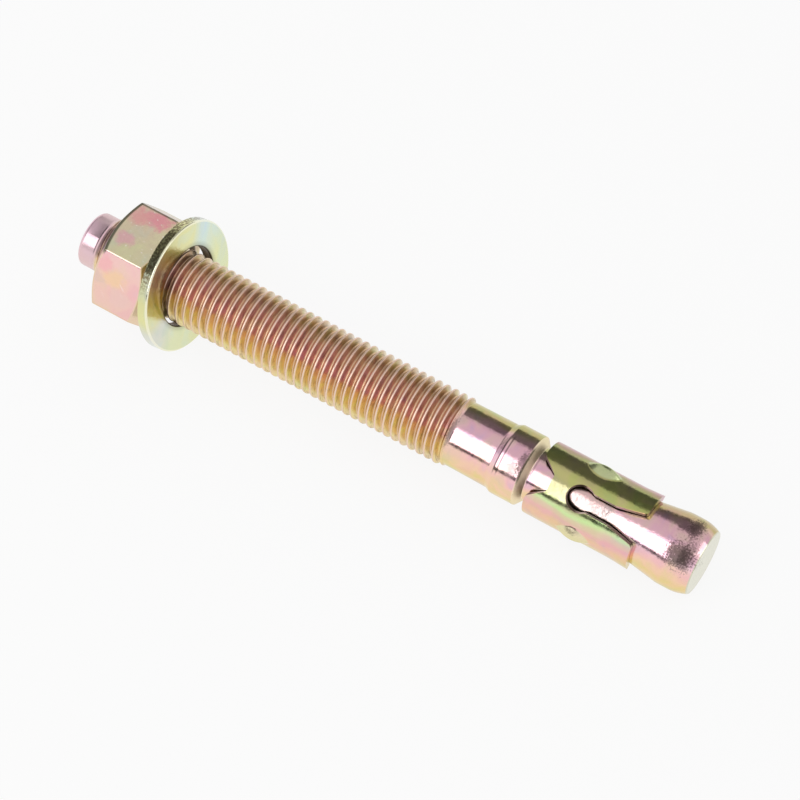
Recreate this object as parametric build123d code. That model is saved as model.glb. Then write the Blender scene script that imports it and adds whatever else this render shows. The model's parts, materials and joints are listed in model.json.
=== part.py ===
from build123d import *
import os
from math import asin, cos, degrees, radians, sin, sqrt, tan

# M16 x 150 torque-expanded wedge anchor: a cold-formed stud with a cone at its foot, a rolled
# expansion clip on the neck above the cone, a flat washer and a hexagon nut. All sizes in millimetres.
#
# Every piece is drawn on the stud's own axis, +X from the dog point to the cone, and laid down last.
# An angle round the axis is counted from the top of the lying anchor, by the right hand about +X.

# ---------------------------------------------------------------- stud
dog_d = 12.4            # plain point that takes the hammer blows and keeps the thread clear of them
dog_len = 4.0
dog_edge_r = 0.8
dog_flare = 2.4         # cone from the dog point up to the thread
thread_d = 15.7         # over the crests of the rolled M16 thread
thread_len = 86.0
thread_pitch = 2.0
thread_depth = 0.95     # of the rings, which have no flats on their crests
runout_len = 0.9        # end of the thread, down to the shank
shank_d = 14.4
shank_foot_d = 14.6     # the shank swells a little where the collar was upset
shank_len = 10.0
collar_chamfer = 1.2    # length of the cone from the shank up to the collar
collar_d = 15.7
collar_len = 5.4
shoulder_len = 1.4      # sloping back of the collar, which stops the clip
neck_d = 12.1
neck_len = 19.25
cone_len = 13.15
cone_d = 16.0           # nominal drill size
land_len = 2.6
nose_len = 4.1          # rounding of the foot, longer than it is deep
nose_drop = 1.0

# ---------------------------------------------------------------- expansion clip
sheet_t = 1.25
clip_neck_gap = 0.85    # the rolled strip is loose on the neck
clip_len = 24.5
clip_to_shoulder = 2.0  # free play towards the collar, at the clip's inner edge
leaf_count = 3
slot_turn = 34.0        # first slot, from the top
flare_len = 4.3         # the leaf tips open out over the cone along this length
tip_cone_gap = 0.12
slot_eye_r = 3.0        # round end of each keyhole slot
slot_half = 2.2         # half width of the channel
slot_tip_half = 3.7     # half width at the leaf tips
bridge_len = 3.95       # joins two leaves, between a scallop and a slot
channel_len = 7.1       # from the eye's centre to where the slot opens out
scallop_depth = 3.9
scallop_half = 1.9      # half width at the bottom
scallop_mouth_half = 5.0
wall_draft = 18.0       # the blanked walls stand about square to the rolled strip
ear_r = 1.9             # corner radii of the blank
scallop_r = 0.7
channel_r = 1.0
mouth_r = 4.0
tip_r = 0.8
seam_gap = 0.8          # where the two ends of the strip meet, in one bridge
bump_len = 7.6          # embossed bump on each leaf
bump_half = 2.95
bump_h = 1.0
bump_back = 12.0        # bump's centre, from the clip's ear end

# ---------------------------------------------------------------- washer
washer_d = 29.6
washer_hole_d = 17.9
washer_t = 2.4
washer_edge = 0.3       # the punch draws in the edges of the front face; the back keeps its burr edge
washer_at = 23.7        # its middle, from the dog point's end
washer_lean = 12.0      # it hangs loose and leans back against the nut at the top
washer_touch_gap = 0.12

# ---------------------------------------------------------------- nut
nut_flats = 24.0
nut_h = 12.3
nut_bearing_d = 22.6    # circle left by the 30 degree chamfer
nut_chamfer_deg = 30.0
nut_bore_gap = 0.2      # round the thread's crests
nut_sink = 0.6          # countersink depth at both ends of the bore
nut_sink_deg = 60.0     # its wall, from the axis
nut_turn = 6.0          # from a flat facing straight up
nut_washer_gap = 0.05

cut_past = 1.0          # how far a cutting tool runs past what it opens


def turned(outline, corners):
    """Body turned about X from an outline of (x, radius) and {(x, radius): corner radius}."""
    face = make_face(outline)
    for (x, r), corner_r in corners.items():
        face = fillet(face.vertices().sort_by_distance((x, r, 0))[0], corner_r)
    return revolve(face, Axis.X)


def on_leaves(shape, first_turn):
    """One copy of a shape for each leaf or slot, round the axis."""
    return [Rot(first_turn + i * 360 / leaf_count, 0, 0) * shape for i in range(leaf_count)]


# ---------------------------------------------------------------- stations along the stud
thread_start = dog_len + dog_flare
thread_end = thread_start + thread_len
shank_start = thread_end + runout_len
shank_end = shank_start + shank_len
collar_start = shank_end + collar_chamfer
collar_end = collar_start + collar_len
neck_start = collar_end + shoulder_len
cone_start = neck_start + neck_len
cone_end = cone_start + cone_len
land_end = cone_end + land_len
foot = land_end + nose_len

clip_inner_r = neck_d / 2 + clip_neck_gap
shoulder_slope = (collar_d - neck_d) / 2 / shoulder_len
clip_stop = collar_end + (collar_d / 2 - clip_inner_r) / shoulder_slope
clip_start = clip_stop + clip_to_shoulder
clip_end = clip_start + clip_len


def thread_outline():
    """Outline of the rolled thread, as rings one pitch apart in place of the helix."""
    rings = []
    for i in range(int(thread_len / thread_pitch)):
        crest_x = thread_start + i * thread_pitch
        rings += [(crest_x, thread_d / 2), (crest_x + thread_pitch / 2, thread_d / 2 - thread_depth)]
    return rings + [(thread_end, thread_d / 2)]


def make_stud():
    """Anchor body: one cold-formed piece from the dog point to the cone."""
    radii = Polyline(
        (0, 0), (0, dog_d / 2), (dog_len, dog_d / 2), *thread_outline(),
        (shank_start, shank_d / 2), (shank_end, shank_foot_d / 2),
        (collar_start, collar_d / 2), (collar_end, collar_d / 2), (neck_start, neck_d / 2),
        (cone_start, neck_d / 2), (cone_end, cone_d / 2), (land_end, cone_d / 2))
    nose = TangentArc((land_end, cone_d / 2), (foot, cone_d / 2 - nose_drop), tangent=(1, 0))
    close = Polyline((foot, cone_d / 2 - nose_drop), (foot, 0), (0, 0))
    return turned(radii + nose + close, {(0, dog_d / 2): dog_edge_r})


# ---------------------------------------------------------------- clip, from the neck outwards
clip_outer_r = clip_inner_r + sheet_t
cone_r_at_tip = neck_d / 2 + (clip_end - cone_start) * (cone_d - neck_d) / 2 / cone_len
tip_inner_r = cone_r_at_tip + tip_cone_gap
tip_outer_r = tip_inner_r + sheet_t


def wall_solid(start_r, end_r):
    """Solid under one face of the clip's wall: straight, then flaring over the cone."""
    flare_start = clip_end - flare_len
    return turned(Polyline(
        (clip_start, 0), (clip_start, start_r), (flare_start, start_r),
        (clip_end, end_r), (clip_end, 0), (clip_start, 0)), {})


def blanked_out(outline):
    """Tool that cuts an outline, true at the sheet's outer face, through the top of the wall."""
    outline = Pos(0, 0, clip_outer_r) * outline
    inwards = extrude(outline, -clip_outer_r / 2, taper=wall_draft)
    return inwards + extrude(outline, tip_outer_r - clip_outer_r + cut_past, taper=-wall_draft)


def slot_outline():
    """Keyhole slot, open at the leaf tips."""
    eye_x = clip_start + scallop_depth + bridge_len + slot_eye_r
    open_x = eye_x + channel_len
    spread = (slot_tip_half - slot_half) / (clip_end - open_x)
    past_x = clip_end + cut_past
    past_half = slot_half + spread * (past_x - open_x)
    channel = make_face(Polyline(
        (eye_x, -slot_half), (open_x, -slot_half), (past_x, -past_half),
        (past_x, past_half), (open_x, slot_half), (eye_x, slot_half), (eye_x, -slot_half)))
    slot = channel + Pos(eye_x, 0) * Circle(slot_eye_r)
    meet_x = eye_x + sqrt(slot_eye_r ** 2 - slot_half ** 2)
    for side in (-1, 1):
        for x, corner_r in ((meet_x, channel_r), (open_x, mouth_r)):
            corner = slot.vertices().sort_by_distance((x, side * slot_half, 0))[0]
            slot = fillet(corner, corner_r)
    return slot


def scallop_outline():
    """Hollow between two ears, open towards the collar."""
    bottom_x = clip_start + scallop_depth
    spread = (scallop_mouth_half - scallop_half) / scallop_depth
    past_x = clip_start - cut_past
    past_half = scallop_half + spread * (bottom_x - past_x)
    hollow = make_face(Polyline(
        (past_x, -past_half), (past_x, past_half), (bottom_x, scallop_half),
        (bottom_x, -scallop_half), (past_x, -past_half)))
    return fillet(hollow.vertices().sort_by(Axis.X)[-2:], scallop_r)


def bump():
    """Embossed bump on the top leaf: the cap of an ellipsoid."""
    drop = clip_outer_r + bump_h - sqrt(clip_outer_r ** 2 - bump_half ** 2)
    across = (drop ** 2 + bump_half ** 2) / (2 * drop)
    along = bump_len / 2 / sqrt(1 - ((across - bump_h) / across) ** 2)
    arc = EllipticalCenterArc((0, 0), along, across, arc_size=180)
    cap = revolve(make_face(arc + Line(arc @ 1, arc @ 0)), Axis.X)
    return Pos(clip_start + bump_back, 0, clip_outer_r + bump_h - across) * cap


def bump_hollow():
    """What the edge of the punch's wheel leaves under a bump: a disc that lies across the leaf."""
    half_len = bump_len / 2 - sheet_t
    wheel_r = (half_len ** 2 + bump_h ** 2) / (2 * bump_h)
    wheel = Cylinder(wheel_r, 2 * (bump_half - sheet_t), rotation=(90, 0, 0))
    return Pos(clip_start + bump_back, 0, clip_inner_r + bump_h - wheel_r) * wheel


def make_clip():
    """Expansion clip: one blanked and embossed strip, rolled round the neck."""
    leaf_turn = slot_turn + 180 / leaf_count
    clip = wall_solid(clip_outer_r, tip_outer_r) + on_leaves(bump(), leaf_turn)
    clip -= wall_solid(clip_inner_r, tip_inner_r)
    clip -= on_leaves(bump_hollow(), leaf_turn)
    clip -= on_leaves(blanked_out(slot_outline()), slot_turn)
    clip -= on_leaves(blanked_out(scallop_outline()), slot_turn)
    seam = Pos(clip_start, 0, clip_outer_r) * Box(clip_len, seam_gap, clip_outer_r)
    clip -= Rot(slot_turn + 360 / leaf_count, 0, 0) * seam
    for end, corner_r in ((clip_start, ear_r), (clip_end, tip_r)):
        across_sheet = [edge for edge in clip.edges()
                        if abs(edge.center().X - end) < 0.01 and edge.length < 2 * sheet_t]
        clip = fillet(across_sheet, corner_r)
    return clip


# ---------------------------------------------------------------- washer and nut on the thread
lean = radians(washer_lean)
# The hole's clear height across the leaning washer, less the thread, is the play it can lift by.
washer_play = washer_hole_d * cos(lean) - washer_t * sin(lean) - thread_d
washer_lift = washer_play / 2 - washer_touch_gap
bearing_r = nut_bearing_d / 2
# Back face of the washer, level with the rim of the nut's bearing face at the top.
back_x = washer_at - washer_t / 2 * cos(lean)
back_z = washer_lift - washer_t / 2 * sin(lean)
nut_end = back_x - (bearing_r - back_z) * tan(lean) - nut_washer_gap
nut_start = nut_end - nut_h


def make_washer():
    """Flat washer, hanging on the thread and leaning back against the nut."""
    disc = Cylinder(washer_d / 2, washer_t) - Cylinder(washer_hole_d / 2, washer_t)
    disc = chamfer(disc.edges().filter_by(GeomType.CIRCLE).group_by(Axis.Z)[-1], washer_edge)
    return Pos(washer_at, 0, washer_lift) * Rot(0, -washer_lean, 0) * Rot(0, 90, 0) * disc


def make_nut():
    """Hexagon nut, chamfered and countersunk at both ends."""
    corner_r = nut_flats / sqrt(3)
    chamfer = (corner_r - bearing_r) * tan(radians(nut_chamfer_deg))
    bore_r = thread_d / 2 + nut_bore_gap
    sink_r = bore_r + nut_sink * tan(radians(nut_sink_deg))
    flat_up = RegularPolygon(nut_flats / 2, 6, major_radius=False, rotation=30)
    hexagon = Rot(0, 90, 0) * extrude(flat_up, nut_h)
    envelope = turned(Polyline(
        (0, 0), (0, bearing_r), (chamfer, corner_r), (nut_h - chamfer, corner_r),
        (nut_h, bearing_r), (nut_h, 0), (0, 0)), {})
    bore = turned(Polyline(
        (0, 0), (0, sink_r), (nut_sink, bore_r), (nut_h - nut_sink, bore_r),
        (nut_h, sink_r), (nut_h, 0), (0, 0)), {})
    return Pos(nut_start, 0, 0) * Rot(nut_turn, 0, 0) * ((hexagon & envelope) - bore)


# ---------------------------------------------------------------- lying at rest
def axis_height(rest_angle):
    """Height of the stud's axis over the floor at x = 0, with the washer's rim down."""
    tilt = lean - rest_angle
    rim = washer_d / 2 * cos(tilt) + washer_t / 2 * sin(tilt)
    return rim + washer_at * sin(rest_angle) - washer_lift * cos(rest_angle)


def rest_angle_on(x, r):
    """Slope of the axis when the washer's rim and a round of radius r at x both touch the floor."""
    angle = 0.0
    for _ in range(30):
        fall = axis_height(angle) - washer_at * sin(angle) - r * cos(angle)
        angle = asin(fall / (x - washer_at))
    return angle


rest_angle = min(rest_angle_on(land_end, cone_d / 2), rest_angle_on(clip_end, tip_outer_r))
pieces = {"stud": make_stud(), "clip": make_clip(), "washer": make_washer(), "nut": make_nut()}
lying = Pos(0, 0, axis_height(rest_angle)) * Rot(0, degrees(rest_angle), 0)
reach = Compound([lying * piece for piece in pieces.values()]).bounding_box()
centred = Pos(-(reach.min.X + reach.max.X) / 2, 0, -reach.min.Z)

os.makedirs("parts", exist_ok=True)
for name, piece in pieces.items():
    export_step(centred * lying * piece, f"parts/{name}.step")
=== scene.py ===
import json
from math import asin, atan2, copysign, cos, exp, hypot, log, pi, radians, sin, sqrt, tan

import bmesh
import bpy
from mathutils import Matrix, Vector


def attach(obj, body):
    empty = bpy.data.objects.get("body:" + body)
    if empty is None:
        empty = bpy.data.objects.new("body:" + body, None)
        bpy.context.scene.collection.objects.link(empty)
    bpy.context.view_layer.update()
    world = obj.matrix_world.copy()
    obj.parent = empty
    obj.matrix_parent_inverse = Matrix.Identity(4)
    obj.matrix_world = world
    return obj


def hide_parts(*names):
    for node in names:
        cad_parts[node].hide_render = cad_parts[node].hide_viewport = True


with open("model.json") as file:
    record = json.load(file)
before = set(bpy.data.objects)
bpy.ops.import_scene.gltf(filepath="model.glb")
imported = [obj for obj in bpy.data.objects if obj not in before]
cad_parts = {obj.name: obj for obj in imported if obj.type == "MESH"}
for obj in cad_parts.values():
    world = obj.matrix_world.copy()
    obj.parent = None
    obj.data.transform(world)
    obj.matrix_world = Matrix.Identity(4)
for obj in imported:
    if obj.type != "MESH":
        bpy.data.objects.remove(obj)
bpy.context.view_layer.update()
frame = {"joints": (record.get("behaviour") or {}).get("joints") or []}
bpy.ops.object.select_all(action="DESELECT")

# ---------------------------------------------------------------- camera
# A long lens looks down on the lying anchor from the cone's side, so that the stud runs from the
# upper left to the lower right of a square frame. The colours are shown as they are written.
mm = 0.001
camera_azimuth = radians(31.87)     # from straight in front, towards +X
camera_elevation = radians(53.1)
camera_distance = 564.9 * mm
camera_aim = Vector((2.52, 0.85, 10.62)) * mm
camera_nearest = 10 * mm
sensor_width = 36.0
focal_length = 121.5

toward_camera = Vector((
    sin(camera_azimuth) * cos(camera_elevation),
    -cos(camera_azimuth) * cos(camera_elevation),
    sin(camera_elevation)))
bpy.ops.object.camera_add(
    location=camera_aim + camera_distance * toward_camera,
    rotation=toward_camera.to_track_quat("Z", "Y").to_euler())
camera = bpy.context.object
camera.name = "camera"
camera.data.sensor_width = sensor_width
camera.data.lens = focal_length
camera.data.clip_start = camera_nearest
bpy.context.scene.camera = camera
bpy.context.scene.view_settings.view_transform = "Standard"

# ---------------------------------------------------------------- studio
# White table and white room, one bright softbox over the camera's side, a paler ceiling panel, and
# dark curtains behind and beyond the dog point, which give the plated steel its dark bands.
softbox_reach = 700 * mm            # from the stud's axis
softbox_from, softbox_to = 23, 67   # degrees round the axis, from the top towards the camera
softbox_left, softbox_right = -400 * mm, -40 * mm
softbox_watts = 1.05
flag_tone = 0.05                    # black flags fill in below the softbox and beside it
bar_reach = 650 * mm
bar_from, bar_to = 67, 78
gap_right = 220 * mm
panel_left, panel_right, panel_back = -1600 * mm, 1200 * mm, 2000 * mm
panel_height = 600 * mm
panel_tone = 0.72
curtain_left, curtain_bend, curtain_right = -800 * mm, -70 * mm, 120 * mm
curtain_slant, curtain_front, curtain_back = 1490 * mm, 200 * mm, 2400 * mm
curtain_height = 450 * mm
curtain_tone = 0.14
side_at, side_front, side_back = -420 * mm, -350 * mm, 500 * mm
side_low, side_high = 300 * mm, 700 * mm
side_tone = 0.14
window_left, window_right = 330 * mm, 600 * mm      # a bright panel over the cone's end
window_from, window_to = -35, 22
window_reach = 500 * mm
window_tone = 1.8
room_strength = 0.75
table_size = 6000 * mm
table_drop = 0.02 * mm              # below the anchor, so that the faces don't meet
table_tone = 0.8
table_shade = 0.12                  # how much of the table's own shadow shows on the white
white = (1, 1, 1, 1)


def linear(code):
    """Linear colour from an sRGB hex value."""
    channels = [int(code[i:i + 2], 16) / 255 for i in (0, 2, 4)]
    return (*(c / 12.92 if c <= 0.04045 else ((c + 0.055) / 1.055) ** 2.4 for c in channels), 1)


def add(tree, kind, inputs=(), stops=(), **settings):
    """One shader node, with its settings, and with values or other nodes' sockets at its inputs."""
    made = tree.nodes.new("ShaderNode" + kind)
    for name, value in settings.items():
        setattr(made, name, value)
    for i, (place, code) in enumerate(stops):
        if i > 1:
            made.color_ramp.elements.new(place)
        made.color_ramp.elements[i].position = place
        made.color_ramp.elements[i].color = linear(code)
    for socket, value in dict(inputs).items():
        if isinstance(value, bpy.types.NodeSocket):
            tree.links.new(value, made.inputs[socket])
        else:
            made.inputs[socket].default_value = value
    return made


def seen_directly(tree):
    """1 for camera, glossy and transmission rays, which see the white background itself."""
    path = add(tree, "LightPath")
    either = add(tree, "Math", {0: path.outputs["Is Camera Ray"], 1: path.outputs["Is Glossy Ray"]},
                 operation="MAXIMUM")
    return add(tree, "Math", {0: either.outputs[0], 1: path.outputs["Is Transmission Ray"]},
               operation="MAXIMUM").outputs[0]


def new_material(name):
    """An empty material and its output node."""
    material = bpy.data.materials.new(name)
    material.use_nodes = True
    material.node_tree.nodes.clear()
    return material, add(material.node_tree, "OutputMaterial")


def glow(name, tone):
    """Material of a studio card: it shines evenly at one grey tone."""
    material, output = new_material(name)
    tree = material.node_tree
    card = add(tree, "Emission", {"Color": (tone, tone, tone, 1), "Strength": 1.0})
    tree.links.new(card.outputs[0], output.inputs["Surface"])
    return material


def card(name, corners, tone):
    """Flat studio card that only reflections see."""
    bpy.ops.mesh.primitive_plane_add(size=1)
    made = bpy.context.object
    made.name = name
    for vertex, corner in zip(made.data.vertices, corners):
        vertex.co = corner
    made.data.materials.append(glow(name + " card", tone))
    made.visible_camera = False
    made.visible_diffuse = False
    made.visible_shadow = False


world = bpy.data.worlds.new("white room")
bpy.context.scene.world = world
world.use_nodes = True
world.node_tree.nodes.clear()
room_light = add(world.node_tree, "Background", {"Color": white, "Strength": room_strength})
room_white = add(world.node_tree, "Background", {"Color": white, "Strength": 1.0})
room = add(world.node_tree, "MixShader",
           {0: seen_directly(world.node_tree), 1: room_light.outputs[0], 2: room_white.outputs[0]})
add(world.node_tree, "OutputWorld", {"Surface": room.outputs[0]})

bpy.ops.mesh.primitive_plane_add(size=table_size, location=(0, 0, -table_drop))
table = bpy.context.object
table.name = "table"
table_white, table_output = new_material("white table")
tree = table_white.node_tree
lit = add(tree, "BsdfDiffuse", {"Color": (table_tone, table_tone, table_tone, 1)})
plain = add(tree, "Emission", {"Color": white, "Strength": 1.0})
shown = add(tree, "MixShader", {0: table_shade, 1: plain.outputs[0], 2: lit.outputs[0]})
mixed = add(tree, "MixShader", {0: seen_directly(tree), 1: lit.outputs[0], 2: shown.outputs[0]})
tree.links.new(mixed.outputs[0], table_output.inputs["Surface"])
table.data.materials.append(table_white)

softbox_middle = radians((softbox_from + softbox_to) / 2)
away = Vector((0, -sin(softbox_middle), cos(softbox_middle)))
across = away.cross(Vector((1, 0, 0)))
bpy.ops.object.light_add(
    type="AREA", location=away * softbox_reach + Vector(((softbox_left + softbox_right) / 2, 0, 0)),
    rotation=Matrix((across.cross(away), across, away)).transposed().to_euler())
softbox = bpy.context.object
softbox.name = "softbox"
softbox.data.shape = "RECTANGLE"
softbox.data.size = softbox_right - softbox_left
softbox.data.size_y = 2 * softbox_reach * tan(radians((softbox_to - softbox_from) / 2))
softbox.data.energy = softbox_watts


def level(left, right, front, back, height):
    """Corners of a card that lies level over the table."""
    return [(x, y, height) for y in (front, back) for x in (left, right)]


def beside_axis(left, right, reach, low, high):
    """Corners of a card along the X axis, between two angles from the top towards the camera."""
    return [(x, -reach * sin(radians(turn)), reach * cos(radians(turn)))
            for turn in (low, high) for x in (left, right)]


panel_front = -panel_height * tan(radians(softbox_from))
card("ceiling", level(panel_left, panel_right, panel_front, panel_back, panel_height), panel_tone)
card("curtain", [
    (curtain_left, curtain_slant, curtain_height), (curtain_bend, curtain_front, curtain_height),
    (curtain_left, curtain_back, curtain_height), (curtain_bend, curtain_back, curtain_height)],
    curtain_tone)
card("curtain_end", level(curtain_bend, curtain_right, curtain_front, curtain_back, curtain_height),
     curtain_tone)
card("side_curtain", [(side_at, side_front, side_low), (side_at, side_back, side_low),
                      (side_at, side_front, side_high), (side_at, side_back, side_high)], side_tone)
card("softbox_bar", beside_axis(softbox_left, 0, bar_reach, bar_from, bar_to), flag_tone)
card("window", beside_axis(window_left, window_right, window_reach, window_from, window_to),
     window_tone)
card("gap", beside_axis(softbox_right, gap_right, softbox_reach, softbox_from, softbox_to),
     flag_tone)

# ---------------------------------------------------------------- stud
# The anchor's body is one cold-formed steel rod: dog point, rolled M16 thread, plain shank, upset
# collar, necked waist and end cone. Its axis falls a little towards the cone, as the anchor lies.
dog_d = 12.4
dog_len = 4.0
dog_face = 0.01                     # where the dog point's flat end stands
dog_edge_r = 0.8
thread_start = 6.4                  # stations are millimetres from the dog point's end
thread_end = 92.4
thread_d = 15.7
thread_pitch = 2.0
thread_depth = 1.15
thread_flank = radians(30)
crest_r = 0.16
root_r = 0.2
root_half = 0.17
thread_turns = 47
thread_steps = 64                   # per turn
thread_lead_in = 2.5                # turns of groove before the thread's start, cut off later
thread_weld = 0.001                 # points of two turns that are nearer than this become one
runout_turns = 1.2                  # the last grooves rise to the shank over these
shank_start = 93.3
shank_straight = 0.3                # from its start; then it widens evenly to its end
shank_d = 14.4
shank_end = 103.3
shank_foot_d = 14.6
shank_foot_r = 0.8
collar_rise_r = 0.5
collar_start = 104.5
collar_end = 109.9
collar_d = 15.7
collar_edge_r = 0.4
neck_start = 111.3
neck_d = 12.1
shoulder_r = 0.3
cone_start = 130.55
cone_end = 143.7
cone_d = 16.0
cone_blend_r = 6.0                  # from the neck to the cone, and from the cone to the land
land_end = 146.3
foot = 150.4
nose_drop = 1.0
foot_edge_r = 0.15
nose_steps = 10
nut_middle = 13.985
dog_cut = dog_len - 0.2             # the thread is cut off here, and the ends are drawn on
shank_cut = shank_start + 0.05
crease = radians(40)                # sharper edges than this are shaded as edges

joints = {joint["name"]: joint for joint in frame["joints"]}
stud_axis = Vector(joints["nut_travel"]["axis"]).normalized()
dog_end = Vector(joints["nut_turn"]["pos_m"]) - nut_middle * mm * stud_axis
lying = (Matrix.Translation(dog_end) @ Matrix.Rotation(asin(-stud_axis.z), 4, "Y")
         @ Matrix.Scale(mm, 4))


def trace(name, points, closed=False):
    """A line drawn point by point, at (station, height) in the stud's upright plane, in mm."""
    bpy.ops.mesh.primitive_plane_add(size=1)
    bpy.ops.object.mode_set(mode="EDIT")
    bpy.ops.mesh.merge(type="CENTER")
    bpy.ops.transform.translate(value=(points[0][0], 0, points[0][1]))
    for here, after in zip(points, points[1:]):
        step = (after[0] - here[0], 0, after[1] - here[1])
        bpy.ops.mesh.extrude_region_move(TRANSFORM_OT_translate={"value": step})
    if closed:
        bpy.ops.mesh.select_all(action="SELECT")
        bpy.ops.mesh.edge_face_add()
        bpy.ops.mesh.delete(type="ONLY_FACE")
    bpy.ops.object.mode_set(mode="OBJECT")
    bpy.context.object.name = name
    return bpy.context.object


def apply(piece, kind, **settings):
    """Add a modifier, set it and apply it."""
    modifier = piece.modifiers.new(kind.lower(), kind)
    for name, value in settings.items():
        setattr(modifier, name, value)
    bpy.context.view_layer.objects.active = piece
    bpy.ops.object.modifier_apply(modifier=modifier.name)


def rounded(corners, steps=5, hold=0.06):
    """Outline through (station, height, radius) corners, as arcs with a held point at both ends."""
    outline = [Vector(corners[0][:2])]
    for before, here, after in zip(corners, corners[1:], corners[2:]):
        corner, radius = Vector(here[:2]), here[2]
        if radius == 0:
            outline.append(corner)
            continue
        back = (Vector(before[:2]) - corner).normalized()
        ahead = (Vector(after[:2]) - corner).normalized()
        half = back.angle(ahead) / 2
        centre = corner + (back + ahead).normalized() * radius / sin(half)
        start, end = corner + back * radius / tan(half), corner + ahead * radius / tan(half)
        if hold:
            outline.append(start + back * hold)
        turn = pi - 2 * half
        for i in range(steps + 1):
            to_start, to_end = (sin(turn * part) / sin(turn) for part in (1 - i / steps, i / steps))
            outline.append(centre + (start - centre) * to_start + (end - centre) * to_end)
        if hold:
            outline.append(end + ahead * hold)
    return outline + [Vector(corners[-1][:2])]


def draw_on(stations, at):
    """Extend the open ring that is selected at station at through (station, radius) rings."""
    x, r = at
    for next_x, next_r in stations:
        bpy.ops.mesh.extrude_region_move(TRANSFORM_OT_translate={"value": (next_x - x, 0, 0)})
        bpy.ops.transform.resize(value=(1, next_r / r, next_r / r), center_override=(next_x, 0, 0))
        x, r = next_x, next_r
    bpy.ops.mesh.edge_face_add()


def face_outwards(sharp_from):
    """Turn a piece's faces outwards and shade it smooth, but for edges sharper than an angle."""
    bpy.ops.object.mode_set(mode="EDIT")
    bpy.ops.mesh.select_all(action="SELECT")
    bpy.ops.mesh.normals_make_consistent(inside=False)
    bpy.ops.object.mode_set(mode="OBJECT")
    bpy.ops.object.shade_smooth_by_angle(angle=sharp_from)


def lay(piece, at=Matrix()):
    """Take a finished piece from its place on the stud, in millimetres, to where it lies."""
    piece.matrix_world = lying @ at
    bpy.ops.object.select_all(action="DESELECT")
    piece.select_set(True)
    bpy.context.view_layer.objects.active = piece
    bpy.ops.object.transform_apply(location=True, rotation=True, scale=True)


crest, root = thread_d / 2, thread_d / 2 - thread_depth
flank = thread_depth * tan(thread_flank)
first_groove = thread_start - thread_lead_in * thread_pitch
thread_line = rounded([
    (0, root, 0), (root_half, root, root_r), (root_half + flank, crest, crest_r),
    (thread_pitch - root_half - flank, crest, crest_r), (thread_pitch - root_half, root, root_r),
    (thread_pitch, root, 0)], steps=3, hold=0.04)
stud = trace("threaded_stud", [(first_groove + x, r) for x, r in thread_line])
apply(stud, "SCREW", axis="X", screw_offset=thread_pitch, iterations=thread_turns,
      steps=thread_steps, render_steps=thread_steps, use_merge_vertices=False)


def between(x, low, high):
    """0 before low, 1 past high and straight between."""
    return min(max((x - low) / (high - low), 0), 1)


runout_start = shank_start - runout_turns * thread_pitch
for vertex in stud.data.vertices:
    x = vertex.co.x
    r = hypot(vertex.co.y, vertex.co.z)
    over = dog_d / 2 + (crest - dog_d / 2) * between(x, dog_len, thread_start)
    over += (shank_d / 2 - crest) * between(x, thread_end, shank_start)
    under = root + (shank_d / 2 - root) * between(x, runout_start, shank_start)
    new_r = min(max(r, under), over)
    vertex.co.y *= new_r / r
    vertex.co.z *= new_r / r
bpy.ops.object.mode_set(mode="EDIT")
bpy.ops.mesh.select_all(action="SELECT")
bpy.ops.mesh.remove_doubles(threshold=thread_weld)
bpy.ops.mesh.bisect(plane_co=(dog_cut, 0, 0), plane_no=(1, 0, 0), clear_inner=True)
dog_line = rounded([(dog_len, dog_d / 2, 0), (dog_face, dog_d / 2, dog_edge_r),
                    (dog_face, dog_d / 4, 0)])
draw_on(dog_line[1:], (dog_cut, dog_d / 2))
bpy.ops.mesh.select_all(action="SELECT")
bpy.ops.mesh.bisect(plane_co=(shank_cut, 0, 0), plane_no=(1, 0, 0), clear_outer=True)
nose_r = ((foot - land_end) ** 2 + nose_drop ** 2) / (2 * nose_drop)
nose_turn = asin((foot - land_end) / nose_r)
nose = [(land_end + nose_r * sin(nose_turn * i / nose_steps),
         cone_d / 2 - nose_r * (1 - cos(nose_turn * i / nose_steps)), 0)
        for i in range(1, nose_steps)]
foot_line = rounded([
    (shank_cut, shank_d / 2, 0), (shank_start + shank_straight, shank_d / 2, 0),
    (shank_end, shank_foot_d / 2, shank_foot_r), (collar_start, collar_d / 2, collar_rise_r),
    (collar_end, collar_d / 2, collar_edge_r), (neck_start, neck_d / 2, shoulder_r),
    (cone_start, neck_d / 2, cone_blend_r), (cone_end, cone_d / 2, cone_blend_r),
    (land_end, cone_d / 2, 0)])
foot_line += rounded([*nose, (foot, cone_d / 2 - nose_drop, foot_edge_r), (foot, cone_d / 4, 0)])
draw_on(foot_line[1:], (shank_cut, shank_d / 2))
face_outwards(crease)
lay(stud)


def stud_coordinates(tree):
    """Object coordinates turned onto the stud, in mm: height, towards the camera, station."""
    onto = Matrix(((0, 0, 1), (0, -1, 0), (1, 0, 0))) @ lying.to_3x3().normalized().transposed()
    here = add(tree, "TexCoord").outputs["Object"]
    return add(tree, "Mapping", {
        "Vector": here, "Scale": (1 / mm, 1 / mm, 1 / mm), "Rotation": onto.to_euler("XYZ"),
        "Location": -(onto @ dog_end) / mm}).outputs[0]


def by_turn(tree, place, around):
    """Colour that changes round the stud: around lists degrees from the top, towards the camera."""
    turn = add(tree, "TexGradient", {"Vector": place}, gradient_type="RADIAL")
    ramp = add(tree, "ValToRGB", {"Fac": turn.outputs["Fac"]},
               stops=[(degree / 360 + 0.5, code) for degree, code in around])
    ramp.color_ramp.interpolation = "EASE"
    return ramp.outputs[0]


def from_axis(tree, place):
    """Distance from the stud's axis, in millimetres."""
    flat = add(tree, "VectorMath", {0: place, 1: (1, 1, 0)}, operation="MULTIPLY")
    return add(tree, "VectorMath", {0: flat.outputs[0]}, operation="LENGTH").outputs["Value"]


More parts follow.
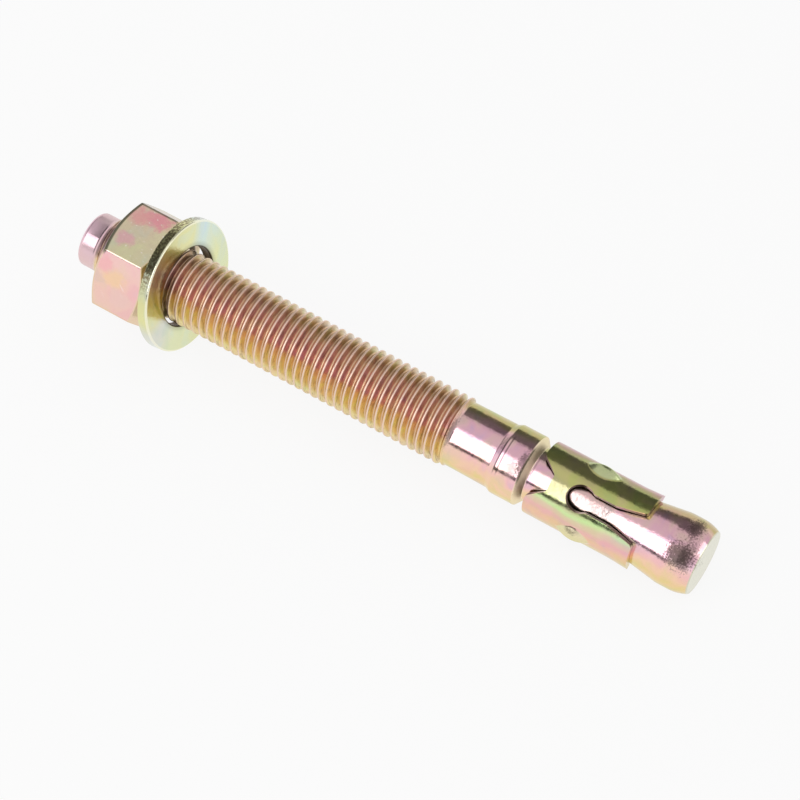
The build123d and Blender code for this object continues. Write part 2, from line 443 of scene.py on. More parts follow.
def off_from(tree, value, middle):
    """How far a value is from the middle of a zone."""
    off = add(tree, "Math", {0: value, 1: middle}, operation="SUBTRACT").outputs[0]
    return add(tree, "Math", {0: off}, operation="ABSOLUTE").outputs[0]


def zone(tree, share, *limits):
    """A share that fades out smoothly where a value is short of its limits (value, none, whole)."""
    for value, none, whole in limits:
        here = add(tree, "MapRange", {"Value": value, "From Min": none, "From Max": whole},
                   interpolation_type="SMOOTHSTEP").outputs["Result"]
        share = add(tree, "Math", {0: share, 1: here}, operation="MULTIPLY").outputs[0]
    return share


ragged_none, ragged_whole = 1.4, 0.5        # of a patch's half size, where it is gone and whole


def patch(tree, share, place, station, half_len, turn, half_turn, ragged, grit):
    """A share that is left only in a ragged patch, at a station and at degrees from the top."""
    radial = add(tree, "TexGradient", {"Vector": place}, gradient_type="RADIAL").outputs["Fac"]
    along = add(tree, "SeparateXYZ", {"Vector": place}).outputs["Z"]
    along = add(tree, "MapRange", {
        "Value": along, "From Min": station, "From Max": station + half_len},
        clamp=False).outputs["Result"]
    across = add(tree, "MapRange", {
        "Value": radial, "From Min": turn / 360 + 0.5, "From Max": (turn + half_turn) / 360 + 0.5},
        clamp=False).outputs["Result"]
    flat = add(tree, "CombineXYZ", {"X": along, "Y": across})
    far = add(tree, "VectorMath", {0: flat.outputs[0]}, operation="LENGTH").outputs["Value"]
    noise = add(tree, "TexNoise", {"Vector": place, "Scale": 1 / grit, "Detail": 4.0})
    far = add(tree, "Math", {0: noise.outputs["Fac"], 1: -4 * ragged, 2: far},
              operation="MULTIPLY_ADD").outputs[0]
    shift = 2 * ragged                  # the noise is 0.5 on average
    return zone(tree, share, (far, ragged_none - shift, ragged_whole - shift))


def laid(tree, share, under, over):
    """One film laid over another by share. A film is a colour and a roughness."""
    return (add(tree, "Mix", {0: share, 6: under[0], 7: over[0]}, data_type="RGBA").outputs[2],
            add(tree, "Mix", {0: share, 2: under[1], 3: over[1]}, data_type="FLOAT").outputs[0])


drift_size = 14.0                   # mm, of the film's slow change of colour
grain_size = 0.9                    # mm; the real grain is too fine to show, so it is drawn coarser
grain_height = 0.03 * mm
grain_gloss, grain_dulling = 0.04, 0.06     # how far the grain takes the roughness down and up


def passivated(name, around, blotches, blotch_share, blotch_size=6.0, roughness=0.14, wander=6.0,
               touches=None):
    """Yellow-passivated zinc: a mirror-like film whose colour drifts from pink to gold and green.

    around gives the drift round the stud, in degrees from the top, and blotches the stains on it.
    touches lays other films over it where the piece was worked or worn, and painted light and
    shade."""
    material, output = new_material(name)
    tree = material.node_tree
    place = stud_coordinates(tree)
    drift = add(tree, "TexNoise", {"Vector": place, "Scale": 1 / drift_size, "Detail": 2.0})
    centred = add(tree, "VectorMath", {0: drift.outputs["Color"], 1: (0.5, 0.5, 0.5)},
                  operation="SUBTRACT")
    moved = add(tree, "VectorMath", {0: centred.outputs[0], 1: (wander, wander, wander), 2: place},
                operation="MULTIPLY_ADD")
    drifting = by_turn(tree, moved.outputs[0], around)
    stain = add(tree, "TexNoise", {"Vector": place, "Scale": 1 / blotch_size, "Detail": 3.0,
                                   "Roughness": 0.45, "Distortion": 0.6})
    stains = add(tree, "ValToRGB", {"Fac": stain.outputs["Fac"]}, stops=blotches)
    stains.color_ramp.interpolation = "EASE"
    colour = add(tree, "Mix", {0: blotch_share, 6: drifting, 7: stains.outputs[0]},
                 data_type="RGBA")
    grain = add(tree, "TexNoise", {"Vector": place, "Scale": 1 / grain_size, "Detail": 4.0,
                                   "Roughness": 0.6})
    dull = add(tree, "MapRange", {"Value": grain.outputs["Fac"], "From Min": 0.3, "From Max": 0.7,
                                  "To Min": roughness - grain_gloss,
                                  "To Max": roughness + grain_dulling})
    film = colour.outputs[2], dull.outputs["Result"]
    if touches:
        film = touches(tree, place, film)
    bump = add(tree, "Bump", {
        "Height": grain.outputs["Fac"], "Strength": 1.0, "Distance": grain_height})
    steel = add(tree, "BsdfPrincipled", {
        "Base Color": film[0], "Metallic": 1.0, "Roughness": film[1],
        "Normal": bump.outputs["Normal"]})
    tree.links.new(steel.outputs[0], output.inputs["Surface"])
    return material


def finish(piece, material):
    """Give a piece its one material."""
    piece.data.materials.clear()
    piece.data.materials.append(material)


# Colours run by degrees round the stud, stains by the strength of their pattern.
film_around = [
    (-180, "C9B070"), (-140, "D8A49C"), (-100, "C9B873"), (-50, "B2B266"), (-30, "AC9C6A"),
    (-8, "E4B6C8"), (24, "EFC2D6"), (45, "F2CEDE"), (60, "F8C8C8"), (78, "F9D2B4"),
    (98, "F0D494"), (120, "CDBE6C"), (150, "DDAAA4"), (180, "C9B070")]
film_stains = [
    (0.30, "C9A7C9"), (0.42, "EDB3B3"), (0.50, "F0C9A8"), (0.58, "DDD089"), (0.70, "B9CC8C")]
thread_around = [
    (-180, "E6D08B"), (-64, "FCF6DE"), (-44, "D2C69C"), (-30, "AC9E6C"), (-16, "C4AA7A"),
    (0, "EAC8A8"), (14, "E6BAA8"), (30, "C69688"), (46, "C28E80"), (56, "ECCE8A"), (72, "F6E698"),
    (98, "FAEEAC"), (180, "E6D08B")]
thread_stains = [
    (0.34, "C08FA4"), (0.44, "DE928C"), (0.52, "E2A488"), (0.60, "DDBC7C"), (0.70, "BFC08A")]
thread_tint_share, thread_stain_share, thread_stain_size = 0.75, 0.25, 3.2
thread_roughness = 0.36
streak_len, streak_width = 4, 0.2   # mm, of the dark streaks that rolling leaves round the thread
streak_share, streak_none, streak_whole = 0.4, 0.5, 0.64
root_reach, crest_reach = 0.12, 0.09        # mm off the root and the crest, of their pale films: painted highlight lines, on the crest partly wear
crest_wear_and_highlight_film, root_highlight_film = (linear("EFD2C0"), 0.42), (linear("E2C09E"), 0.42)
# A dark film for the thread's streaks, and for painted shade in the dark rings and the shaded
# scuffed patches.
grime_and_shade, scuff_roughness = linear("3A2E2A"), 0.4
# The dog point's pale pink is its own; the shoulder's pale film is painted light, which brightens
# it where it reflects the dark clip.
dog_film, shoulder_light_film = (linear("E4C4D0"), 0.34), (linear("FFEFCC"), 0.55)
dog_share = 0.8
shoulder_share, shoulder_none, shoulder_whole = 0.8, 0.9, 0.6   # mm from the shoulder's middle
foot_film, foot_none, foot_whole = linear("D8D6BE"), 0.35, 0.1  # mm before the foot's end
# Scuffed patches on the foot, the collar and the thread's end, partly painted shade: they darken
# the foot's reflections and fade the shank's highlight at its start.
scuffs_and_shade = [  # station, half length, degrees from the top, half width in degrees, share, grit
    (146.6, 3.0, 38, 18, 0.75, 0.35), (148.2, 1.4, 34, 24, 0.5, 0.5),
    (146.8, 1.5, -14, 20, 0.7, 0.4), (109.3, 0.8, 27, 18, 0.65, 0.3),
    (108.0, 1.6, 42, 12, 0.3, 0.3), (93.0, 0.5, 34, 26, 0.6, 0.3)]
scuff_shade_raggedness = 0.7
# Painted shade: dark rings across the highlight, at the dog point's and the collar's edges.
painted_dark_rings = [  # station, half width, share
    (4.0, 0.12, 0.7), (5.4, 0.7, 0.6), (104.5, 0.1, 0.75), (105.25, 0.1, 0.6), (110.0, 0.12, 0.75),
    (111.7, 0.08, 0.35)]
dark_ring_fade = 0.1                     # mm beside a painted dark ring
dark_ring_turn, dark_ring_half, dark_ring_side_fade = 28, 24, 14      # the side the dark rings are painted on, towards the softbox, in degrees


def worked_and_shaded_stud(tree, place, film):
    """Coppery, duller thread with painted highlight lines on crests and roots, pale dog point,
    painted light on the shoulder, painted dark rings at the edges, and scuffed patches that are
    partly painted shade.
    """
    station = add(tree, "SeparateXYZ", {"Vector": place}).outputs["Z"]
    r = from_axis(tree, place)
    streaks = add(tree, "Mapping", {
        "Vector": place, "Scale": (1 / streak_len, 1 / streak_len, 1 / streak_width)}).outputs[0]
    streak = add(tree, "TexNoise", {"Vector": streaks, "Scale": 1.0, "Detail": 4.0,
                                    "Roughness": 0.75})
    streaked = zone(tree, streak_share, (streak.outputs["Fac"], streak_none, streak_whole))
    drift = add(tree, "TexNoise", {"Vector": place, "Scale": 1 / thread_stain_size, "Detail": 2.0,
                                   "Distortion": 0.8})
    stained = add(tree, "ValToRGB", {"Fac": drift.outputs["Fac"]}, stops=thread_stains)
    tint = by_turn(tree, place, thread_around)
    thread = laid(tree, thread_tint_share, film, (tint, thread_roughness))
    thread = laid(tree, thread_stain_share, thread, (stained.outputs[0], thread_roughness))
    thread = laid(tree, streaked, thread, (grime_and_shade, thread_roughness))
    # Painted highlight lines: a pale film on the roots, and on the crests, where it is partly wear.
    thread = laid(tree, zone(tree, 1, (r, root + root_reach, root)), thread, root_highlight_film)
    thread = laid(tree, zone(tree, 1, (r, crest - crest_reach, crest)), thread, crest_wear_and_highlight_film)
    film = laid(tree, zone(tree, dog_share, (station, thread_start, dog_len)), film, dog_film)
    at_foot = zone(tree, 1, (station, foot - foot_none, foot - foot_whole))
    film = laid(tree, at_foot, film, (foot_film, film[1]))
    # painted light on the shoulder
    from_shoulder = off_from(tree, station, (collar_end + neck_start) / 2)
    shoulder_light = zone(tree, shoulder_share, (from_shoulder, shoulder_none, shoulder_whole))
    film = laid(tree, shoulder_light, film, shoulder_light_film)
    on_thread = zone(tree, 1, (station, dog_len, thread_start), (station, shank_start, thread_end))
    film = laid(tree, on_thread, film, thread)
    around = add(tree, "TexGradient", {"Vector": place}, gradient_type="RADIAL")
    beside = off_from(tree, around.outputs["Fac"], 0.5 + dark_ring_turn / 360)
    # the dark rings are painted shade, on the side towards the softbox only
    for at, half, share in painted_dark_rings:
        share = zone(tree, share, (beside, (dark_ring_half + dark_ring_side_fade) / 360, dark_ring_half / 360),
                     (off_from(tree, station, at), half + dark_ring_fade, half))
        film = laid(tree, share, film, (grime_and_shade, film[1]))
    # scuffed patches, partly painted shade
    for at, half_len, turn, half_turn, share, grit in scuffs_and_shade:
        share = patch(tree, share, place, at, half_len, turn, half_turn, scuff_shade_raggedness, grit)
        film = laid(tree, share, film, (grime_and_shade, scuff_roughness))
    return film


finish(stud, passivated("yellow-passivated zinc on the stud", film_around, film_stains,
                        blotch_share=0.3, touches=worked_and_shaded_stud))
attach(stud, "stud")
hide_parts("stud")

# ---------------------------------------------------------------- expansion clip
# One steel strip, blanked with three leaves, embossed with a bump on each and rolled round the
# neck. Its ends meet in a fine seam on the far side, and the leaf tips flare out over the cone.
sheet_t = 1.25
clip_outer_r = 8.15
clip_inner_r = clip_outer_r - sheet_t
clip_start = 112.64
clip_len = 24.5
clip_end = clip_start + clip_len
leaf_count = 3
slot_turn = radians(34)             # the first slot, round the axis from the top
flare_len = 4.3
flare_out = 0.25
slot_eye_r = 3.0
slot_half = 2.2
slot_tip_half = 3.7
bridge_len = 3.95
channel_len = 7.1
scallop_depth = 3.9
scallop_half = 1.9
scallop_mouth_half = 5.0
ear_r = 1.9
scallop_r = 0.7
channel_r = 1.0
mouth_r = 4.0
tip_r = 0.8
seam_gap = 0.8
sheet_edge_r = 0.3
bump_len = 8.0
bump_half = 2.7
bump_h = 1.4
bump_back = 12.0
bump_slope = radians(30), radians(50)   # of a bump's sides, near its crest and at its foot
bump_crest = 0.35
bump_crease = 0.08                  # rounding where a bump rises from the sheet
bump_margin = 0.5
roll_step = 0.45                    # the flat blank is divided this finely before it is rolled
bump_step = 0.2
eye_steps, corner_steps = 14, 4
clip_crease = radians(35)

strip_len = 2 * pi * clip_outer_r
leaf_width = strip_len / leaf_count
eye_x = clip_start + scallop_depth + bridge_len + slot_eye_r


def slot_side():
    """One side of a keyhole slot, as (station, offset), from its eye's back to the leaf tip."""
    corner_off = slot_half + channel_r
    corner_x = eye_x + sqrt((slot_eye_r + channel_r) ** 2 - corner_off ** 2)
    corner_centre = Vector((corner_x, corner_off))
    to_eye = (Vector((eye_x, 0)) - corner_centre).normalized()
    on_eye = corner_centre + channel_r * to_eye
    last_turn = atan2(on_eye.y, on_eye.x - eye_x)
    points = []
    for i in range(eye_steps + 1):
        turn = pi + (last_turn - pi) * i / eye_steps
        points.append(Vector((eye_x + slot_eye_r * cos(turn), slot_eye_r * sin(turn))))
    start_turn = atan2(to_eye.y, to_eye.x) % (2 * pi)
    for i in range(1, corner_steps + 1):
        turn = start_turn + (1.5 * pi - start_turn) * i / corner_steps
        points.append(corner_centre + channel_r * Vector((cos(turn), sin(turn))))
    straight = rounded([(*points[-1], 0), (eye_x + channel_len, slot_half, mouth_r),
                        (clip_end, slot_tip_half, tip_r), (clip_end, leaf_width / 2, 0)],
                       steps=6, hold=0)
    return points + straight[1:-1]


def scallop_side():
    """One side of the hollow between two ears, from its bottom to the top of the ear."""
    bottom = clip_start + scallop_depth
    return rounded([(bottom, 0, 0), (bottom, scallop_half, scallop_r),
                    (clip_start, scallop_mouth_half, ear_r), (clip_start, leaf_width / 2, 0)],
                   steps=7, hold=0)[:-1]


def half_outline(side):
    """The part of a side that is left beside the seam."""
    kept = [point for point in side if point.y > seam_gap / 2]
    return [Vector((side[0].x, seam_gap / 2))] + kept


# The blank is traced in the upright plane: station along X, distance round the strip along Z.
blank = []
for leaf in range(leaf_count):
    near, far = leaf * leaf_width, (leaf + 1) * leaf_width
    first = half_outline(slot_side()) if leaf == 0 else slot_side()
    last = half_outline(slot_side()) if leaf == leaf_count - 1 else slot_side()[1:]
    blank += [Vector((point.x, near + point.y)) for point in first]
    blank += [Vector((point.x, far - point.y)) for point in reversed(last)]
for leaf in reversed(range(leaf_count)):
    near, far = leaf * leaf_width, (leaf + 1) * leaf_width
    first = half_outline(scallop_side()) if leaf == leaf_count - 1 else scallop_side()
    last = half_outline(scallop_side()) if leaf == 0 else scallop_side()[1:]
    blank += [Vector((point.x, far - point.y)) for point in first]
    blank += [Vector((point.x, near + point.y)) for point in reversed(last)]

clip = trace("expansion_clip", blank, closed=True)
bpy.ops.object.mode_set(mode="EDIT")
bpy.ops.mesh.select_all(action="SELECT")
bpy.ops.mesh.edge_face_add()
bpy.ops.mesh.extrude_region_move(TRANSFORM_OT_translate={"value": (0, sheet_t, 0)})
bpy.ops.mesh.select_all(action="SELECT")
bpy.ops.mesh.normals_make_consistent(inside=False)
bpy.ops.mesh.select_all(action="DESELECT")
mesh = bmesh.from_edit_mesh(clip.data)
for face in mesh.faces:                 # the edges of the outer face are rounded
    face.select_set(abs(face.normal.y) > 0.9 and face.calc_center_median().y > sheet_t / 2)
bmesh.update_edit_mesh(clip.data)
bpy.ops.mesh.bevel(offset=sheet_edge_r, segments=4, affect="EDGES")


def cut_across(select, low, high, step, normal):
    """Divide what select selects by evenly spaced planes, square to normal."""
    for i in range(1, round((high - low) / step)):
        select()
        bpy.ops.mesh.bisect(plane_co=Vector(normal) * (low + i * step), plane_no=normal)


def everywhere():
    """Select the whole blank."""
    bpy.ops.mesh.select_all(action="SELECT")


def choose(test):
    """Select the faces of the blank whose middle passes a test of (station, distance round)."""
    bpy.ops.mesh.select_all(action="DESELECT")
    mesh = bmesh.from_edit_mesh(clip.data)
    for face in mesh.faces:
        middle = face.calc_center_median()
        face.select_set(test(middle.x, middle.z))
    bmesh.update_edit_mesh(clip.data)


cut_across(everywhere, 0, strip_len, roll_step, (0, 0, 1))
cut_across(everywhere, clip_start, clip_end, 2 * roll_step, (1, 0, 0))
bump_x = clip_start + bump_back
bump_reach_x, bump_reach_z = bump_len / 2 + bump_margin, bump_half + bump_margin
for leaf in range(leaf_count):
    bump_z = (leaf + 0.5) * leaf_width

    def around_bump():
        """Select the faces that this leaf's bump will rise from."""
        choose(lambda x, z: abs(x - bump_x) < bump_reach_x + bump_step
               and abs(z - bump_z) < bump_reach_z + bump_step)

    cut_across(around_bump, bump_x - bump_reach_x, bump_x + bump_reach_x, bump_step, (1, 0, 0))
    cut_across(around_bump, bump_z - bump_reach_z, bump_z + bump_reach_z, bump_step, (0, 0, 1))
bpy.ops.object.mode_set(mode="OBJECT")


def bump_rise(x, turn, wall_r):
    """How far a bump lifts a wall of the clip, at a station and an angle from the leaf's middle.

    It is a short ridge with a curved crest, which falls to nothing at both ends."""
    if wall_r * abs(sin(turn)) > bump_reach_z or abs(x - bump_x) > bump_reach_x:
        return 0
    top = wall_r + bump_h * (1 - ((x - bump_x) / (bump_len / 2)) ** 2)
    near, foot_slope = tan(bump_slope[0]), tan(bump_slope[1])
    r = wall_r
    for _ in range(4):                  # the fall depends on r, so r is found in rounds
        off = r * sin(turn)
        fall = near * (hypot(off, bump_crest) - bump_crest)
        fall += (foot_slope - near) * off ** 2 / (2 * bump_half)
        r = (top - fall) / cos(turn)
    return bump_crease * log(1 + exp((r - wall_r) / bump_crease))


for vertex in clip.data.vertices:
    x, inward, along_strip = vertex.co.x, sheet_t - vertex.co.y, vertex.co.z
    from_leaf = (along_strip / leaf_width % 1 - 0.5) * 2 * pi / leaf_count
    depth = inward / sheet_t
    outer = clip_outer_r + bump_rise(x, from_leaf, clip_outer_r)
    inner = clip_inner_r + bump_rise(x, from_leaf, clip_inner_r)
    r = outer + (inner - outer) * depth + flare_out * between(x, clip_end - flare_len, clip_end)
    turn = slot_turn + 2 * pi / leaf_count + along_strip / clip_outer_r
    vertex.co = (x, -r * sin(turn), r * cos(turn))
face_outwards(clip_crease)
lay(clip)
leaf_around = [
    (-180, "D9B0A8"), (-120, "B9C27E"), (-62, "C294A0"), (-46, "B0868A"), (-36, "948A64"),
    (-26, "8E9A62"), (0, "AEB86C"), (18, "C8CC80"), (28, "B4BA8C"), (48, "C4D29C"), (56, "CCF0AC"),
    (64, "E2CEB4"), (74, "EDB9B9"), (90, "F0C6A4"), (112, "DCC88A"), (150, "C9A9B4"),
    (180, "D9B0A8")]
bump_film, bump_share = (linear("DCECB8"), 0.3), 0.5
bump_none, bump_whole = 0.1, 0.3    # mm over the sheet's outer face
# Painted shade: the cut walls are painted dark, for the dark outlines of the slots and leaves.
cut_edge_shade_film, cut_share = (linear("46342A"), 0.3), 0.9
cut_none, cut_whole = 0.02, 0.12    # mm under the sheet's outer face
tip_none, tip_whole = 0.3, 0.6      # mm before the ends of the leaves


def cut_edges(tree, place, film):
    """The strip's blanked edges are painted dark as shade, and its bumps get a paler film."""
    station = add(tree, "SeparateXYZ", {"Vector": place}).outputs["Z"]
    r = from_axis(tree, place)
    raised = zone(tree, bump_share, (r, clip_outer_r + bump_none, clip_outer_r + bump_whole),
                  (off_from(tree, station, bump_x), bump_reach_x, bump_len / 2))
    film = laid(tree, raised, film, bump_film)
    # painted shade on the cut walls
    within = zone(tree, cut_share, (r, clip_outer_r - cut_none, clip_outer_r - cut_whole),
                  (station, clip_end - tip_none, clip_end - tip_whole))
    return laid(tree, within, film, cut_edge_shade_film)


finish(clip, passivated("yellow-passivated zinc with painted shade on the clip", leaf_around, film_stains,
                        blotch_share=0.22, touches=cut_edges))
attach(clip, "clip")
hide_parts("clip")

# ---------------------------------------------------------------- flat washer
# A steel stamping. The punch leaves the front edges rounded, and the washer hangs on the thread and
# leans back against the nut.
washer_d = 29.6
washer_hole_d = 17.9
washer_t = 2.4
washer_front_r = 0.35
washer_back_r = 0.15
washer_at = 23.7
washer_lean = radians(12)
washer_touch_gap = 0.12
washer_steps = 160                  # round its hole
ring_gap = 0.01                     # left open in a ring's outline, before it is closed
ring_weld = 0.0001

washer_play = washer_hole_d * cos(washer_lean) - washer_t * sin(washer_lean) - thread_d
washer_lift = washer_play / 2 - washer_touch_gap
back, front, hole_r, rim_r = -washer_t / 2, washer_t / 2, washer_hole_d / 2, washer_d / 2
washer_line = rounded([
    (0, hole_r, 0), (front, hole_r, washer_front_r), (front, rim_r, washer_front_r),
    (back, rim_r, washer_back_r), (back, hole_r, washer_back_r),
    (-ring_gap, hole_r, 0)])
washer = trace("flat_washer", washer_line, closed=True)
apply(washer, "SCREW", axis="X", steps=washer_steps, render_steps=washer_steps,
      use_merge_vertices=True, merge_threshold=ring_weld)
face_outwards(crease)
lay(washer, Matrix.Translation((washer_at, 0, washer_lift)) @ Matrix.Rotation(-washer_lean, 4, "Y"))
# Pale passivation is a thinner film: the zinc shows through it nearly white, with a faint rainbow.
washer_around = [(-180, "DFE3B4"), (-90, "E2E8B8"), (-48, "D2E8EA"), (-22, "E4E4B0"), (8, "D4D2A0"),
                 (50, "CECC9C"), (78, "E3E2A6"), (100, "D4DAE8"), (130, "DDE8C8"), (180, "DFE3B4")]
washer_stains = [(0.3, "CBD8E2"), (0.45, "DCE4C4"), (0.55, "E9E4A8"), (0.7, "D6DC9E")]
# Painted shade: the rim is painted dark on its upper side, broken by a speckle.
rim_shade_film, rim_share, rim_none, rim_whole = linear("85785A"), 0.9, 0.3, 0.1      # mm inside the rim
rim_turn, rim_half, rim_fade = -12, 52, 20      # the side painted dark, in degrees from the top
front_none, front_whole = 0.3, 0.7      # mm behind the front face
speckle_size = 0.5                      # mm, of the speckle that breaks up the rim's painted shade, like pits in the sheared rim
speckle_none, speckle_whole = 0.36, 0.56
# Painted highlight: a pale line along the front edge.
front_edge_highlight_film, edge_share, edge_none, edge_whole = linear("FFFBE4"), 0.6, 0.5, 0.3  # mm off the edge
# Painted shade: the punched hole and the nut's bore are painted dark where the thread shades them,
# and the face round the hole where it reflects the thread's dark side.
hole_shade_film, hole_share, hole_none, hole_whole = (linear("4A3C2E"), 0.4), 0.92, 0.4, 0.1
hole_shade_share, hole_shade_reach = 0.35, 1.6    # painted shade round the hole


def washer_light_and_shade(tree, place, film):
    """Painted shade in the punched hole and round it, a painted highlight on the front edge, and
    speckled painted shade on one side of the rim.
    """
    square = add(tree, "Mapping", {
        "Vector": place, "Location": (washer_lift, 0, washer_at), "Rotation": (0, washer_lean, 0)},
        vector_type="TEXTURE").outputs[0]
    ahead = add(tree, "SeparateXYZ", {"Vector": square}).outputs["Z"]
    r = from_axis(tree, square)
    around = add(tree, "TexGradient", {"Vector": square}, gradient_type="RADIAL")
    beside = off_from(tree, around.outputs["Fac"], 0.5 + rim_turn / 360)
    speckle = add(tree, "TexNoise", {
        "Vector": place, "Scale": 1 / speckle_size, "Detail": 3.0}).outputs["Fac"]
    # painted shade on one side of the rim
    rim = zone(tree, rim_share, (r, rim_r - rim_none, rim_r - rim_whole),
               (ahead, front - front_none, front - front_whole),
               (beside, (rim_half + rim_fade) / 360, rim_half / 360),
               (speckle, speckle_none, speckle_whole))
    film = laid(tree, rim, film, (rim_shade_film, film[1]))
    # painted highlight on the front edge
    edge = zone(tree, edge_share, (r, rim_r - edge_none, rim_r - edge_whole),
                (ahead, front - edge_none, front - edge_whole))
    film = laid(tree, edge, film, (front_edge_highlight_film, film[1]))
    # painted shade round the hole and in it
    shade_round_hole = zone(tree, hole_shade_share, (r, hole_r + hole_shade_reach, hole_r))
    film = laid(tree, shade_round_hole, film, (hole_shade_film[0], film[1]))
    punched = zone(tree, hole_share, (r, hole_r + hole_none, hole_r + hole_whole))
    return laid(tree, punched, film, hole_shade_film)


finish(washer, passivated("pale-passivated zinc on the washer", washer_around, washer_stains,
                          blotch_share=0.4, blotch_size=8.0, touches=washer_light_and_shade))
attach(washer, "washer")
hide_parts("washer")

# ---------------------------------------------------------------- hexagon nut
# Cold-formed steel, its corners turned off at both ends and its bore countersunk for the thread. It
# turns on the stud's thread and pushes the washer before it.
nut_flats = 24.0
nut_h = 12.3
nut_bearing_d = 22.6
nut_chamfer = radians(30)
nut_bore_gap = 0.2
nut_sink = 0.6
nut_sink_slope = radians(60)        # from the axis
nut_turn = radians(6)               # from a flat facing straight up
nut_corner_r = 0.55                 # across the hexagon's corners
nut_edge_r = 0.12
nut_shoulder_r = 0.36               # between the flats and the turned ends
nut_steps = 216                     # round the axis
nut_gather = 1.8                    # brings the steps closer together near the corners

corner_r = nut_flats / sqrt(3)
bearing_r = nut_bearing_d / 2
chamfer = (corner_r - bearing_r) * tan(nut_chamfer)
bore_r = crest + nut_bore_gap
sink_r = bore_r + nut_sink * tan(nut_sink_slope)
half_h = nut_h / 2
arc_centre = corner_r - nut_corner_r / cos(pi / 6)
arc_turn = pi / 6 - atan2(arc_centre / 2, nut_flats / 2)


def hexagon_r(turn):
    """Distance from the axis to the rounded hexagon, at an angle from its nearest corner."""
    if abs(turn) < arc_turn:
        return arc_centre * cos(turn) + sqrt(nut_corner_r ** 2 - (arc_centre * sin(turn)) ** 2)
    return nut_flats / 2 / cos(pi / 6 - abs(turn))


# A turned blank as wide as the corners is pressed in to the hexagon, and its end cones keep their
# slope.
nut_line = rounded([
    (0, bore_r, 0), (half_h - nut_sink, bore_r, nut_edge_r), (half_h, sink_r, nut_edge_r),
    (half_h, bearing_r, nut_edge_r), (half_h - chamfer, corner_r, nut_shoulder_r),
    (chamfer - half_h, corner_r, nut_shoulder_r), (-half_h, bearing_r, nut_edge_r),
    (-half_h, sink_r, nut_edge_r), (nut_sink - half_h, bore_r, nut_edge_r),
    (-ring_gap, bore_r, 0)], steps=3)
nut = trace("hexagon_nut", nut_line, closed=True)
apply(nut, "SCREW", axis="X", steps=nut_steps, render_steps=nut_steps,
      use_merge_vertices=True, merge_threshold=ring_weld)
for vertex in nut.data.vertices:
    x, r, turn = vertex.co.x, hypot(vertex.co.y, vertex.co.z), atan2(-vertex.co.y, vertex.co.z)
    nearest = (round((turn - pi / 6) / (pi / 3)) + 0.5) * pi / 3
    from_corner = turn - nearest
    from_corner = copysign(pi / 6 * (abs(from_corner) / (pi / 6)) ** nut_gather, from_corner)
    if r > bearing_r:
        pressed = (hexagon_r(from_corner) - bearing_r) / (corner_r - bearing_r)
        r = bearing_r + (r - bearing_r) * pressed
        x = copysign(half_h - (half_h - abs(x)) * pressed, x)
    turn = nearest + from_corner
    vertex.co = (x, -r * sin(turn), r * cos(turn))
face_outwards(crease)
lay(nut, Matrix.Translation((nut_middle, 0, 0)) @ Matrix.Rotation(nut_turn, 4, "X"))
nut_around = [
    (-180, "E3B0A8"), (-90, "B9B488"), (-84, "C4BA90"), (-26, "B4AA86"), (-23, "E8DEBC"),
    (35, "E2E8B6"), (37, "FACFCF"), (66, "F8CAC6"), (94, "F4CCC4"), (97, "E6C49C"), (140, "DDA8AC"),
    (180, "E3B0A8")]
nut_stains = [
    (0.30, "CFA9CB"), (0.40, "E7A5AD"), (0.5, "EBC8AC"), (0.58, "E2D59C"), (0.68, "B4C898")]
nut_patches = [  # station, half length, degrees from the top, half width in degrees, film
    (14.6, 4.2, -15, 8, "F4A0AC"), (10.8, 3.0, -11, 9, "F2B2AE"), (11.4, 2.4, 18, 8, "EEBABE"),
    (13.0, 3.0, 60, 9, "F8D2AC"), (10.4, 2.0, 50, 8, "F8BCBE"), (15.5, 2.6, 78, 9, "F0CAC2")]
patch_share, patch_raggedness, patch_grit = 0.85, 0.5, 2.0
scratch_lie = (0, -0.79, 2.72)      # turns the scratches into the flats
scratch_shape = (7, 0.5, 0.5)       # mm, long and wide
scratch_film, scratch_share, scratch_none, scratch_whole = linear("FFF6EE"), 0.6, 0.7, 0.74
# Painted shade: a dark line on one corner and on one side of the turned end next to the dog point.
painted_shade_film, corner_share, corner_rise = linear("5E5F4C"), 0.7, 0.3
corner_turn, corner_half, corner_fade = -24, 1.2, 0.8   # the corner painted dark, in degrees from the top
pale_film, pale_share, pale_none, pale_whole = linear("EBD2B4"), 0.85, 0.4, 0.15    # mm in the end
end_share, end_none, end_whole = 0.9, 0.75, 0.45        # mm in the turned end that is painted dark
end_turn, end_half, end_fade = -50, 86, 6               # and its side, in degrees from the top
middle_fade = 1                     # mm, where the painted dark end stops at the nut's middle
bore_share, bore_none, bore_whole = 0.9, 0.6, 0.3       # mm round the countersink, where the bore is painted dark


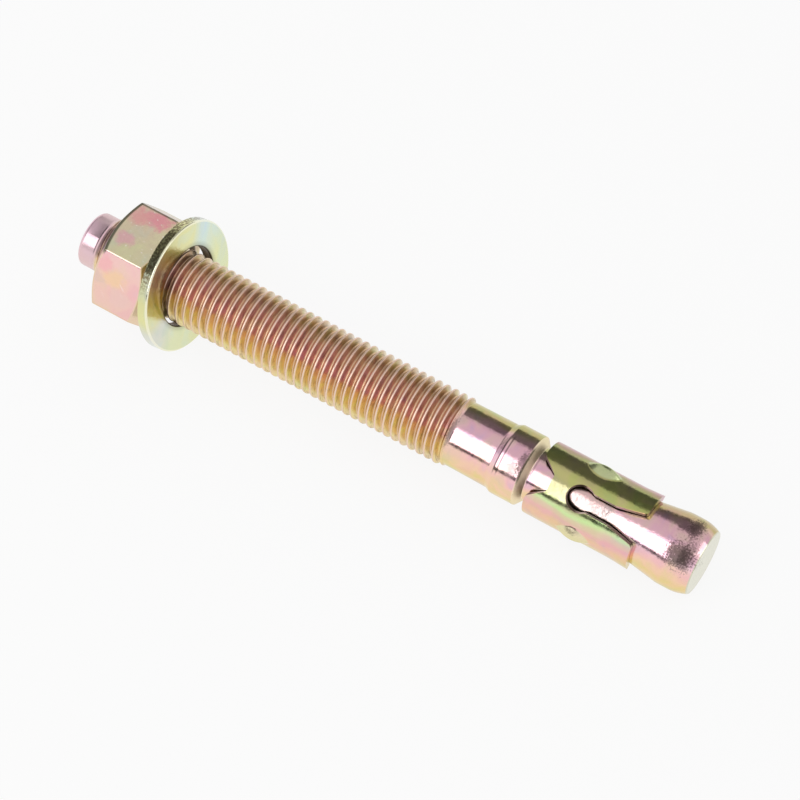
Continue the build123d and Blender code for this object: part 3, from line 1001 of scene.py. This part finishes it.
def worn_and_shaded_nut(tree, place, film):
    """Broad stains and fine scratches on the flats, and painted shade on one corner, on one side of
    the turned end and in the bore.
    """
    station = add(tree, "SeparateXYZ", {"Vector": place}).outputs["Z"]
    r = from_axis(tree, place)
    radial = add(tree, "TexGradient", {"Vector": place}, gradient_type="RADIAL").outputs["Fac"]
    for at, half_len, turn, half_turn, code in nut_patches:
        share = patch(tree, patch_share, place, at, half_len, turn, half_turn, patch_raggedness,
                      patch_grit)
        film = laid(tree, share, film, (linear(code), film[1]))
    lines = add(tree, "Mapping", {"Vector": place, "Rotation": scratch_lie, "Scale": scratch_shape},
                vector_type="TEXTURE")
    scratches = add(tree, "TexNoise", {"Vector": lines.outputs[0], "Scale": 1.0, "Detail": 1.0})
    scratched = zone(tree, scratch_share, (scratches.outputs["Fac"], scratch_none, scratch_whole))
    film = laid(tree, scratched, film, (scratch_film, film[1]))
    # painted shade on one corner
    off_corner = off_from(tree, radial, 0.5 + corner_turn / 360)
    corner = zone(tree, corner_share,
                  (off_corner, (corner_half + corner_fade) / 360, corner_half / 360),
                  (r, bearing_r, bearing_r + corner_rise))
    film = laid(tree, corner, film, (painted_shade_film, film[1]))
    cone = add(tree, "MapRange", {
        "Value": r, "From Min": bearing_r, "From Max": corner_r, "To Min": half_h,
        "To Max": half_h - chamfer}, clamp=False).outputs["Result"]
    from_middle = off_from(tree, station, nut_middle)
    inside_cone = add(tree, "Math", {0: cone, 1: from_middle}, operation="SUBTRACT").outputs[0]
    pale_end = zone(tree, pale_share, (inside_cone, pale_none, pale_whole))
    film = laid(tree, pale_end, film, (pale_film, film[1]))
    # painted shade on one side of the turned end
    off_end = off_from(tree, radial, 0.5 + end_turn / 360)
    end_shade = zone(tree, end_share, (inside_cone, end_none, end_whole),
                    (station, nut_middle + middle_fade, nut_middle - middle_fade),
                    (off_end, (end_half + end_fade) / 360, end_half / 360))
    film = laid(tree, end_shade, film, (painted_shade_film, film[1]))
    bore_shade = zone(tree, bore_share, (r, sink_r + bore_none, sink_r + bore_whole))
    return laid(tree, bore_shade, film, hole_shade_film)


finish(nut, passivated("yellow-passivated zinc with painted shade on the nut", nut_around, nut_stains,
                       blotch_share=0.25, blotch_size=8.0, roughness=0.2, wander=0.0,
                       touches=worn_and_shaded_nut))
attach(nut, "nut")
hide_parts("nut")
